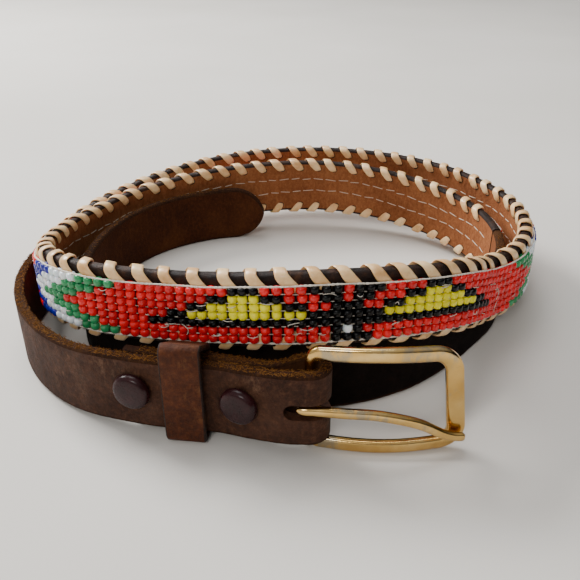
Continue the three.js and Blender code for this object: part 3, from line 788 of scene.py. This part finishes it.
def make_beads():
    profile = []
    for r, h in ((1.0, 0.0), (0.975, 0.5), (0.8, 0.86), (0.5, 1.0)):
        profile.append((BEAD_RADIUS * r, BEAD_HALF_LENGTH * h))
    profile.append((BEAD_BORE * 0.8, BEAD_HALF_LENGTH * 0.8))
    lower = [(r, -h) for r, h in profile[:0:-1]]
    profile = np.array(profile + lower)
    a = around(BEAD_SIDES)
    shape = np.stack([
        np.outer(np.cos(a), profile[:, 0]), np.outer(np.sin(a), profile[:, 0]),
        np.tile(profile[:, 1], (BEAD_SIDES, 1))], 2).reshape(-1, 3)
    faces = np.array(grid_faces(BEAD_SIDES, len(profile), wrap_rows=True))
    s_bird = coil.along(BIRD_AT)
    first = math.ceil((s_bird - beadwork_end) / COLUMN_PITCH)
    last = math.floor((s_bird - beadwork_start) / COLUMN_PITCH)
    made = {k: ([], []) for k in GLASS}
    columns = np.arange(first, last + 1)
    slip = ripple(columns, 61, 9, 0.12)
    for c, sway in zip(columns, slip):
        for row in range(1, ROWS + 1):
            s = s_bird - c * COLUMN_PITCH + sway + rng.gauss(0, 0.09)
            v = MIDDLE + (4 - row) * ROW_PITCH + rng.gauss(0, 0.07) + ripple(
                np.array([float(c)]), 70 + row, 11, 0.06)[0]
            p, on, out = coil.frames([s])
            up = np.cross(on[0], out[0])
            up = up if up[2] > 0 else -up
            size = np.array([rng.uniform(0.93, 1.02), rng.uniform(0.95, 1.0),
                             rng.uniform(0.93, 1.01)])
            tilt = rng.gauss(0, 0.05)
            local = shape * size
            ds = local[:, 0] * math.cos(tilt) - local[:, 2] * math.sin(tilt)
            dv = local[:, 0] * math.sin(tilt) + local[:, 2] * math.cos(tilt)
            u = HALF + CLEAR + PANEL_THICK - BEAD_RADIUS - abs(rng.gauss(0, 0.05))
            q = (p[0] + out[0] * u + [0, 0, v] + np.outer(ds, on[0])
                 + np.outer(local[:, 1], out[0]) + np.outer(dv, up))
            verts, quads = made[bead_colour(row, int(c))]
            quads.append(faces + len(verts) * len(shape))
            verts.append(q * MM)
    for key, (verts, quads) in made.items():
        obj = piece("beads_" + BEADS[key][0], np.concatenate(verts),
                    np.concatenate(quads).tolist(), GLASS[key], "strap",
                    smooth_angle=0)
        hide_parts("bead_panel")


def make_bead_threads():
    face = HALF + CLEAR + PANEL_THICK
    s = np.arange(beadwork_start, beadwork_end, 1.1)
    warp = []
    for k in range(1, ROWS):
        v = MIDDLE + (3.5 - k) * ROW_PITCH + ripple(s, 80 + k, 7, 0.1)
        warp.append(coil.place(s, face - 1.4 + ripple(s, 90 + k, 5, 0.12), v))
    edges = []
    for side in (1, -1):
        for strand in (0, 1):
            phase = s * 2 * np.pi / 2.6 + strand * np.pi
            v = MIDDLE + side * (ROWS * ROW_PITCH / 2 + 0.12) + 0.12 * np.sin(phase) + ripple(
                s, 100 + side, 23, 0.12)
            u = HALF + CLEAR + 1.25 + 0.12 * np.cos(phase) + ripple(s, 104 + side, 15, 0.1)
            edges.append(coil.place(s, u, v))
    loose = []
    for _ in range(LOOSE_PICKS):
        at = rng.uniform(beads_start + 6, beads_end - 9)
        k = rng.randint(1, ROWS - 1)
        v = MIDDLE + (3.5 - k) * ROW_PITCH + rng.gauss(0, 0.25)
        t = np.linspace(0, 1, 7)
        long = rng.uniform(1.0, 3.6)
        curl = rng.gauss(0, 0.35)
        u = face - 0.5 + 0.42 * np.sin(np.pi * t)
        loose.append(coil.place(at + long * t, u, v + curl * np.sin(np.pi * t)
                                + rng.gauss(0, 0.3) * t))
    for beyond, v, reach, hang in LOOSE_FROM_BIRD:
        t = np.linspace(0, 1, 14)
        u = face - 0.35 + 0.3 * np.sin(np.pi * t)
        at = coil.along(BIRD_AT) + beyond
        loose.append(coil.place(at + reach * np.sin(2.4 * t), u, v - hang * t ** 1.3))
    for name, strands, radius, sides in (("warp_threads", warp, 0.12, 4),
                                         ("edge_threads", edges, 0.2, 6),
                                         ("loose_threads", loose, 0.1, 5)):
        verts, faces = tubes(strands, radius * MM, sides)
        obj = piece(name, verts, faces, THREAD, "strap", smooth_angle=0)
        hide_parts("bead_panel")


# Lacing

# Each lace hole's mouth is drawn as a dark disc of painted shade in the hole.
PUNCH_LONG = 1.35         # half length and height of a lace hole's dark mouth
PUNCH_TALL = 1.15
PUNCH_PROUD = 0.05
PUNCH_SUNK = 0.2
PUNCH_SIDES = 12
LAP_STARTS_BEFORE = 3.6   # how far before its place a lap starts
LAP_SECTIONS = 27
# A strip of lace across, as shares of half its width and half its thickness.
LACE_SECTION = [(-1.0, -0.2), (-0.93, 0.42), (-0.6, 0.86), (0.0, 1.0), (0.6, 0.86),
                (0.93, 0.42), (1.0, -0.2), (0.82, -0.85), (0.0, -1.0), (-0.82, -0.85)]


# One lap of lace: [s from its start, u, depth below the edge, normal out, normal up].
LAP = [
    (0.3, HALF - 0.3, 4.7, 1.0, 0.1), (0.9, HALF + 0.5, 4.1, 1.0, 0.0),
    (2.0, HALF + 0.74, 3.0, 1.0, 0.0), (3.2, HALF + 0.72, 1.5, 1.0, 0.15),
    (4.0, HALF + 0.42, 0.35, 0.85, 0.5), (4.35, HALF - 0.45, -0.3, 0.4, 0.92),
    (4.65, 0.0, -0.5, 0.0, 1.0), (4.95, 0.45 - HALF, -0.3, -0.4, 0.92),
    (5.4, -HALF - 0.35, 0.3, -0.85, 0.5), (6.1, -HALF - 0.52, 1.1, -1.0, 0.1),
    (6.9, -HALF - 0.48, 2.1, -1.0, 0.0), (7.6, -HALF - 0.3, 3.0, -1.0, -0.15),
    (8.0, 0.4 - HALF, 3.6, -0.9, -0.5),
]


def lap(edge, at, wander):
    """Verts of one lap of lace over an edge, as rings of points in belt space."""
    s, u, depth, out, up = curves(LAP, LAP_SECTIONS)
    s = at + s * wander[0] - LAP_STARTS_BEFORE + wander[1]
    path = np.stack([s, u, MIDDLE + edge * (MIDDLE - depth)], 1)
    normal = np.stack([np.zeros(len(s)), out, edge * up], 1)
    t = unit(np.gradient(path, axis=0))
    normal = unit(normal - t * np.sum(normal * t, 1)[:, None])
    side = np.cross(t, normal)
    w, h = LACE_WIDTH / 2 * wander[2], LACE_THICK / 2
    step, last = np.arange(len(s)), len(s) - 1
    narrow = 1 - 0.35 * (1 - smoothstep(step, 0, 4)) - 0.3 * smoothstep(step, last - 5, last)
    rings = [path + side * (a * w * narrow)[:, None] + normal * (b * h)
             for a, b in LACE_SECTION]
    return np.stack(rings, 1)


def make_laces():
    start = beads_start + LACE_LEAN + PANEL_INSET
    laps = int((beads_end - LACE_LEAN - PANEL_INSET - start) // LACE_PITCH)
    for name, edge in (("upper_lace", 1), ("lower_lace", -1)):
        verts, faces = [], []
        shade_marks, shade_mark_faces = [], []
        for i in range(laps):
            wander = (rng.uniform(0.93, 1.07), rng.gauss(0, 0.22), rng.uniform(0.93, 1.04))
            rings = lap(edge, start + i * LACE_PITCH + 1.3, wander)
            rows, cols = rings.shape[:2]
            base = len(verts)
            flat = rings.reshape(-1, 3)
            verts.extend(coil.place(flat[:, 0], flat[:, 1], flat[:, 2]).tolist())
            faces += grid_faces(rows, cols, base=base) + caps(rows, cols, base)
            # A dark disc of painted shade at the hole where the lap ends.
            end = rings[-4].mean(0)
            a = around(PUNCH_SIDES)
            base = len(shade_marks)
            for u in (-PUNCH_SUNK, PUNCH_PROUD):
                shade_marks.extend(coil.place(end[0] + 0.5 + PUNCH_LONG * np.cos(a), -HALF - u,
                                        end[2] - edge * 0.3 + PUNCH_TALL * np.sin(a)).tolist())
            shade_mark_faces += grid_faces(2, PUNCH_SIDES, base=base) + caps(2, PUNCH_SIDES, base)
        obj = piece(name + "_laps", verts, faces, LACE, "strap")
        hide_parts(name)
        piece(name + "_hole_shade", shade_marks, shade_mark_faces, EDGE_DARK, "strap")


def make_inner_stitches():
    """Two broken lines of pale thread along the suede face."""
    paths = []
    for line, share in enumerate((0.65, 0.4)):
        s = beads_start + 4 + line * 2.2
        while s < beads_end - 8:
            long = rng.uniform(3.0, 4.6)
            drift = ripple(np.array([s]), 120 + line, 60, 0.5)[0]
            v = WIDTH * share + drift
            t = np.linspace(0, 1, 7)
            lift = 0.16 * np.sin(np.pi * t) - 0.12
            paths.append(coil.place(s + long * t, -HALF - lift, v + rng.gauss(0, 0.1)
                                    + 0.35 * (t - 0.5) * rng.choice([-1, 1])))
            s += long + rng.uniform(0.9, 1.7)
    verts, faces = tubes(paths, 0.16 * MM, 6)
    piece("suede_stitches", verts, faces, PALE_THREAD, "strap", smooth_angle=0)


# Keeper and studs

KEEPER_ROUND = 1.5        # its corners, on the middle of its wall
KEEPER_EDGE = 0.55        # its rounded side edges
LEAST_ROUND = 0.35
# A stud's cap: [share of its radius, depth below its top], then [share of its
# radius, height above the leather].
CAP_TOP = [(0, 0), (0.4, 0.05), (0.72, 0.17), (0.83, 0.33), (0.9, 0.6), (0.955, 1.05),
           (0.985, 1.5)]
CAP_SIDE = [(0.995, 0.7), (0.985, 0.35), (0.93, 0.05), (0.5, -0.1), (0, -0.1)]
CAP_SIDES = 56


def make_keeper():
    p, on, out = (x[0] for x in coil.frames([KEEPER_AT]))
    on = np.array([on[0], on[1], 0]) / math.hypot(on[0], on[1])
    front = HALF + 4 * CLEAR
    rear = -(LAYERS + HALF + CLEAR)
    low, high, rear_high = -CLEAR, WIDTH + KEEPER_ROOM, WIDTH + KEEPER_REAR_ROOM

    def outline(grow):
        g = KEEPER_WALL / 2 + grow
        q = max(KEEPER_ROUND + grow, LEAST_ROUND)
        u0, u1 = rear - g + q, front + g - q
        corners = [(u1, low - g + q, -90), (u1, high + g - q, 0), (u0, rear_high + g - q, 90),
                   (u0, low - g + q, 180)]
        pts = []
        for k, (u, v, start) in enumerate(corners):
            for a in np.radians(start + np.linspace(0, 90, 7)):
                pts.append((u + q * math.cos(a), v + q * math.sin(a)))
            nu, nv, nstart = corners[(k + 1) % 4]
            b = np.radians(nstart)
            here, there = pts[-1], (nu + q * math.cos(b), nv + q * math.sin(b))
            for t in (0.2, 0.4, 0.6, 0.8):
                pts.append(tuple((1 - t) * x + t * y for x, y in zip(here, there)))
        return np.array(pts)

    half_wall, half_wide = KEEPER_WALL / 2, KEEPER_WIDTH / 2
    flat = half_wide - KEEPER_EDGE
    loop = [(-flat, half_wall), (0, half_wall)]
    for side in (1, -1):
        for a in np.linspace(0, np.pi, 7):
            loop.append((side * (flat + KEEPER_EDGE * math.sin(a)), side * half_wall * math.cos(a)))
    loop.pop()
    rings = []
    for along_on, grow in loop:
        shape = outline(grow)
        k = np.arange(len(shape))
        wave = ripple(k * 3.0 + along_on, 140, 30, 0.12) * (abs(along_on) / half_wide)
        q = (p + np.outer(shape[:, 0], out) + np.outer(along_on + wave, on))
        q[:, 2] += shape[:, 1]
        rings.append(q * MM)
    rows, cols = len(rings), len(rings[0])
    kinds = []
    for i in range(rows):
        a, b = loop[i], loop[(i + 1) % rows]
        outside = a[1] >= half_wall * 0.99 and b[1] >= half_wall * 0.99
        kinds += [0 if outside else 1] * cols
    obj = piece("keeper_loop", np.array(rings), grid_faces(rows, cols, wrap_rows=True),
                [KEEPER_BROWN, EDGE_DARK], "strap", kinds)
    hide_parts("keeper")


def make_snap(name, along, up):
    p, on, out = (x[0] for x in coil.frames([along]))
    r = SNAP_DIAMETER / 2
    lo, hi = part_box(name)
    far = max(float(np.dot(np.array(c) / MM - p, out)) for c in
              ((x, y, 0) for x in (lo[0], hi[0]) for y in (lo[1], hi[1])))
    face = HALF + CLEAR * 0.7
    top = min(face + SNAP_HEIGHT, far)
    profile = [(q * r, top - h) for q, h in CAP_TOP] + [(q * r, face + h) for q, h in CAP_SIDE]
    steps = CAP_SIDES
    side = np.array([on[0], on[1], 0]) / math.hypot(on[0], on[1])
    verts = []
    for q, h in profile[1:-1]:
        for a in around(steps):
            verts.append(p + out * h + side * q * math.cos(a)
                         + np.array([0, 0, up * WIDTH + q * math.sin(a)]))
    rows = len(profile) - 2
    faces = grid_faces(rows, steps)
    for at, h in ((0, profile[0][1]), (rows - 1, profile[-1][1])):
        centre = len(verts)
        verts.append(p + out * h + [0, 0, up * WIDTH])
        faces += [(centre, at * steps + j, at * steps + (j + 1) % steps) for j in range(steps)]
    obj = piece(name + "_cap", np.array(verts) * MM, faces, ENAMEL, "strap",
                smooth_angle=35)
    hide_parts(name)


# Buckle


BAR_THICK = 2.6
END_BAR_WIDTH = 5.0
BUCKLE_LENGTH = 43.0
BUCKLE_BOW = 2.2
BUCKLE_LEAN = 3.4
BUCKLE_ROOM = 1.9
HEEL_CORNER = 2.9
END_CORNER = 5.2
HEEL_FLATS = 0.94
UPPER_BAR_MORE = 0.45     # the upper bar is a little wider than the lower one
FRAME_SIDES = 28
LONG_STEPS = 16
SHORT_STEPS = 10
SQUARE = 0.62             # how square the bars are across; 1 is round
END_BAR_AT = BUCKLE_LENGTH - HEEL_DIAMETER / 2 - END_BAR_WIDTH / 2
FRAME_LOW = float(fold_p[2]) - CLEAR - BAR_WIDTH
FRAME_HEIGHT = WIDTH + BUCKLE_ROOM + 2 * BAR_WIDTH


def bar_path():
    """The frame's middle line: length from the heel bar, height, way it faces in degrees."""
    low, high = FRAME_LOW + BAR_WIDTH / 2, FRAME_LOW + FRAME_HEIGHT - BAR_WIDTH / 2
    path = []

    def corner(r, x, z, start):
        for turn in np.linspace(0, 90, 13):
            a = math.radians(start + turn)
            path.append((x + r * math.cos(a), z + r * math.sin(a), start + turn))

    def straight(start, end, facing, count):
        for x, z in np.linspace(start, end, count)[1:-1]:
            path.append((x, z, facing))

    corner(HEEL_CORNER, HEEL_CORNER, low + HEEL_CORNER, 180)
    straight((HEEL_CORNER, low), (END_BAR_AT - END_CORNER, low), 270, LONG_STEPS)
    corner(END_CORNER, END_BAR_AT - END_CORNER, low + END_CORNER, 270)
    straight((END_BAR_AT, low + END_CORNER), (END_BAR_AT, high - END_CORNER), 360, SHORT_STEPS)
    corner(END_CORNER, END_BAR_AT - END_CORNER, high - END_CORNER, 0)
    straight((END_BAR_AT - END_CORNER, high), (HEEL_CORNER, high), 90, LONG_STEPS)
    corner(HEEL_CORNER, HEEL_CORNER, high - HEEL_CORNER, 90)
    straight((0, high - HEEL_CORNER), (0, low + HEEL_CORNER), 180, SHORT_STEPS)
    return low, high, path


def make_frame_bar():
    low, high, path = bar_path()
    b = around(FRAME_SIDES, 0.5)
    verts = []
    for x, z, facing in path:
        a = math.radians(facing)
        side = (math.cos(a), math.sin(a))
        is_heel = min(max(-side[0], 0), 1) ** 2
        is_end = min(max(side[0], 0), 1) ** 2
        heel_wide = HEEL_DIAMETER * HEEL_FLATS
        wide = (BAR_WIDTH + (heel_wide - BAR_WIDTH) * is_heel
                + (END_BAR_WIDTH - BAR_WIDTH) * is_end
                + UPPER_BAR_MORE * max(side[1], 0) ** 2)
        thick = BAR_THICK + (heel_wide - BAR_THICK) * is_heel
        power = SQUARE + (1 - SQUARE) * is_heel
        w = np.sign(np.cos(b)) * np.abs(np.cos(b)) ** power * wide / 2
        h = np.sign(np.sin(b)) * np.abs(np.sin(b)) ** power * thick / 2
        share = (z - low) / (high - low)
        arch = math.sin(math.pi * min(max(x / END_BAR_AT, 0), 1))
        length = x + side[0] * w
        length = length - BUCKLE_LEAN * share * length / END_BAR_AT
        up = z + side[1] * w + BUCKLE_BELLY * arch * (2 * share - 1)
        for i in range(FRAME_SIDES):
            verts.append((hinge_at[0] + length[i], hinge_at[1] - BUCKLE_BOW * arch - h[i], up[i]))
    obj = piece("buckle_frame_bar", np.array(verts) * MM,
                grid_faces(len(path), FRAME_SIDES, wrap_rows=True), GILT, "buckle",
                smooth_angle=60)
    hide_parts("buckle_frame")


# The prong's middle line: [distance on from the heel bar, forward of it,
# down from its ring, half width, half thickness].
PRONG = [
    (-3.3, 4.1, 0.0, 0.3, 0.3), (-2.9, 4.2, 0.15, 0.75, 0.6), (-2.0, 4.3, 0.4, 1.1, 0.85),
    (-0.8, 4.25, 0.5, 1.28, 1.05), (1.0, 4.2, 0.6, 1.3, 1.1), (4.0, 4.35, 0.75, 1.32, 1.1),
    (9.7, 4.7, 1.0, 1.4, 1.1), (16.4, 5.0, 1.3, 1.4, 1.1), (23.4, 4.75, 2.95, 1.4, 1.1),
    (28.8, 4.1, 5.2, 1.38, 1.08), (33.9, 3.55, 8.3, 1.3, 1.0), (37.0, 3.15, 9.6, 1.25, 0.92),
    (39.6, 2.95, 10.0, 1.2, 0.8), (40.3, 2.95, 10.05, 0.8, 0.6),
]
PRONG_RING = 3.35
PRONG_BORE = 1.85
PRONG_UP = 15.62
PRONG_SIDES = 20
PRONG_SECTIONS = 90
PRONG_SQUARE = 0.75
RING_HALF = 1.2           # half the height of the prong's ring
RING_EDGE = 0.35
RING_SECTIONS = 40


def make_prong():
    length, forward, down, wide, thick = curves(PRONG, PRONG_SECTIONS)
    path = np.stack([hinge_at[0] + length, hinge_at[1] - forward, PRONG_UP - down], 1)
    t = unit(np.gradient(path, axis=0))
    ahead = unit(np.array([0, -1.0, 0]) - t * (-t[:, 1])[:, None])
    up = np.cross(ahead, t)
    a = around(PRONG_SIDES, 0.5)
    flat = np.sign(np.cos(a)) * np.abs(np.cos(a)) ** PRONG_SQUARE
    tall = np.sign(np.sin(a)) * np.abs(np.sin(a)) ** PRONG_SQUARE
    rings = (path[:, None] + ahead[:, None] * (thick[:, None] * flat)[:, :, None]
             + up[:, None] * (wide[:, None] * tall)[:, :, None])
    verts = rings.reshape(-1, 3).tolist()
    faces = grid_faces(len(path), PRONG_SIDES) + caps(len(path), PRONG_SIDES)
    half, e, base = RING_HALF, RING_EDGE, len(verts)
    loop = [(PRONG_RING, -half + e), (PRONG_RING, half - e), (PRONG_RING - e, half),
            (PRONG_BORE + e, half), (PRONG_BORE, half - e), (PRONG_BORE, -half + e),
            (PRONG_BORE + e, -half), (PRONG_RING - e, -half)]
    for b in around(RING_SECTIONS):
        verts += [(hinge_at[0] + r * math.cos(b), hinge_at[1] + r * math.sin(b), PRONG_UP + h)
                  for r, h in loop]
    faces += grid_faces(RING_SECTIONS, len(loop), wrap_rows=True, base=base)
    obj = piece("prong_tongue", np.array(verts) * MM, faces, GILT, "tongue",
                smooth_angle=50)
    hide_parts("prong")


# Fibres

FRONT_FIBRES = 3000
TIP_FIBRES = 1200


def fibres(name, count, s_from, s_to, place):
    """Short loose fibres on a cut edge; place(s, u, v) gives a point in metres."""
    paths = []
    for _ in range(count):
        s = rng.uniform(s_from, s_to)
        u = rng.uniform(-HALF * 0.85, HALF * 0.85)
        t = np.linspace(0, 1, 4)
        long, lean = rng.uniform(0.4, 1.1), rng.uniform(0, 2 * math.pi)
        rise = rng.uniform(0.1, 0.32)
        paths.append(place(s + long * np.cos(lean) * t,
                           np.clip(u + 0.7 * long * np.sin(lean) * t, -HALF, HALF),
                           WIDTH - 0.16 + rise * np.sin(np.pi * (0.15 + 0.7 * t))))
    verts, faces = tubes(paths, 0.06 * MM, 3)
    # The fibres' bright colour is painted light.
    piece(name, verts, faces, FIBRE_PAINTED_LIGHT, "strap", smooth_angle=0)


def on_buckle_strap(s, u, v):
    """Points on the buckle strap's own run, past its fold where s is below 0."""
    s, u, v = np.broadcast_arrays(np.asarray(s, float), u, v)
    order = np.argsort(RUNS)
    p, out = (np.stack([np.interp(s, RUNS[order], rows[order, k]) for k in range(3)], 1)
              for rows in (PLACES, OUTS))
    q = p + unit(out) * u[:, None]
    q[:, 2] += v
    return q * MM


def make_fibres():
    fibres("edge_fibres_front", FRONT_FIBRES, -60, beads_start - 2, on_buckle_strap)
    fibres("edge_fibres_tip", TIP_FIBRES, beads_end + 2, coil.length - TIP_TAPER, coil.place)


# Stage, light and camera

FLOOR_SIZE = 24           # metres
SKY = [(0.0, (0.03, 0.025, 0.02, 1)), (1.0, (0.95, 0.97, 1.0, 1)), (0.3, (0.34, 0.34, 0.34, 1))]
SKY_STRENGTH = 0.55
SKY_TO_LEFT = -0.6        # how much brighter the sky is towards -X
SKY_RAISED = 0.25


def make_stage():
    bpy.ops.mesh.primitive_plane_add(size=FLOOR_SIZE, location=(0, 0, 0))
    floor = bpy.context.object
    floor.name = "floor"
    floor.data.materials.append(floor_plain())
    world = bpy.data.worlds.new("studio")
    bpy.context.scene.world = world
    world.use_nodes = True
    tree = world.node_tree
    new, link = tree.nodes.new, tree.links.new
    split = new("ShaderNodeSeparateXYZ")
    link(new("ShaderNodeTexCoord").outputs["Generated"], split.inputs["Vector"])
    side = new("ShaderNodeMath")
    side.operation = "MULTIPLY_ADD"
    side.inputs[1].default_value = SKY_TO_LEFT
    link(split.outputs["X"], side.inputs[0])
    link(split.outputs["Z"], side.inputs[2])
    level = new("ShaderNodeMath")
    level.inputs[1].default_value = SKY_RAISED
    link(side.outputs[0], level.inputs[0])
    sky = new("ShaderNodeValToRGB")
    e = sky.color_ramp.elements
    for item, (at, colour) in zip([e[0], e[1], e.new(0.5)], SKY):
        item.position = at
        item.color = colour
    link(level.outputs[0], sky.inputs["Fac"])
    background = tree.nodes["Background"].inputs
    link(sky.outputs["Color"], background["Color"])
    background["Strength"].default_value = SKY_STRENGTH


def area(name, at, aim, size, power, colour=(1, 1, 1)):
    light = bpy.data.lights.new(name, "AREA")
    light.shape = "RECTANGLE"
    light.size, light.size_y = size
    light.energy = power
    light.color = colour
    obj = linked(name, light)
    obj.location = at
    obj.rotation_euler = (Vector(aim) - Vector(at)).to_track_quat("-Z", "Y").to_euler()


def make_lights():
    area("window_left", (-0.75, 0.6, 0.7), (0, 0, 0.02), (0.5, 0.45), 23, (1, 0.99, 0.97))
    area("overhead", (-0.15, 0.25, 0.95), (0, 0, 0), (0.5, 0.5), 4.5)
    area("front_fill", (-0.2, -0.75, 0.6), (0, 0, 0.02), (0.25, 0.25), 2.6, (1, 0.98, 0.95))


CAMERA_BACK = 222.0
CAMERA_UP = 128.0
CAMERA_PITCH = 29.45
FOCAL_PIXELS = 700.0
IMAGE_PIXELS = 580.0
SENSOR = 36


def make_camera():
    data = bpy.data.cameras.new("camera")
    data.sensor_fit = "HORIZONTAL"
    data.sensor_width = SENSOR
    data.lens = SENSOR * FOCAL_PIXELS / IMAGE_PIXELS
    data.clip_start = 0.01
    obj = linked("camera", data)
    obj.location = (coil.shift[0] * MM, (coil.shift[1] - CAMERA_BACK) * MM, CAMERA_UP * MM)
    obj.rotation_euler = (math.radians(90 - CAMERA_PITCH), 0, 0)
    bpy.context.scene.camera = obj


make_camera()
make_stage()
make_lights()
make_buckle_strap()
make_body()
make_tip()
make_beads()
make_bead_threads()
make_laces()
make_inner_stitches()
make_keeper()
for snap in SNAPS:
    make_snap(*snap)
make_frame_bar()
make_prong()
make_fibres()
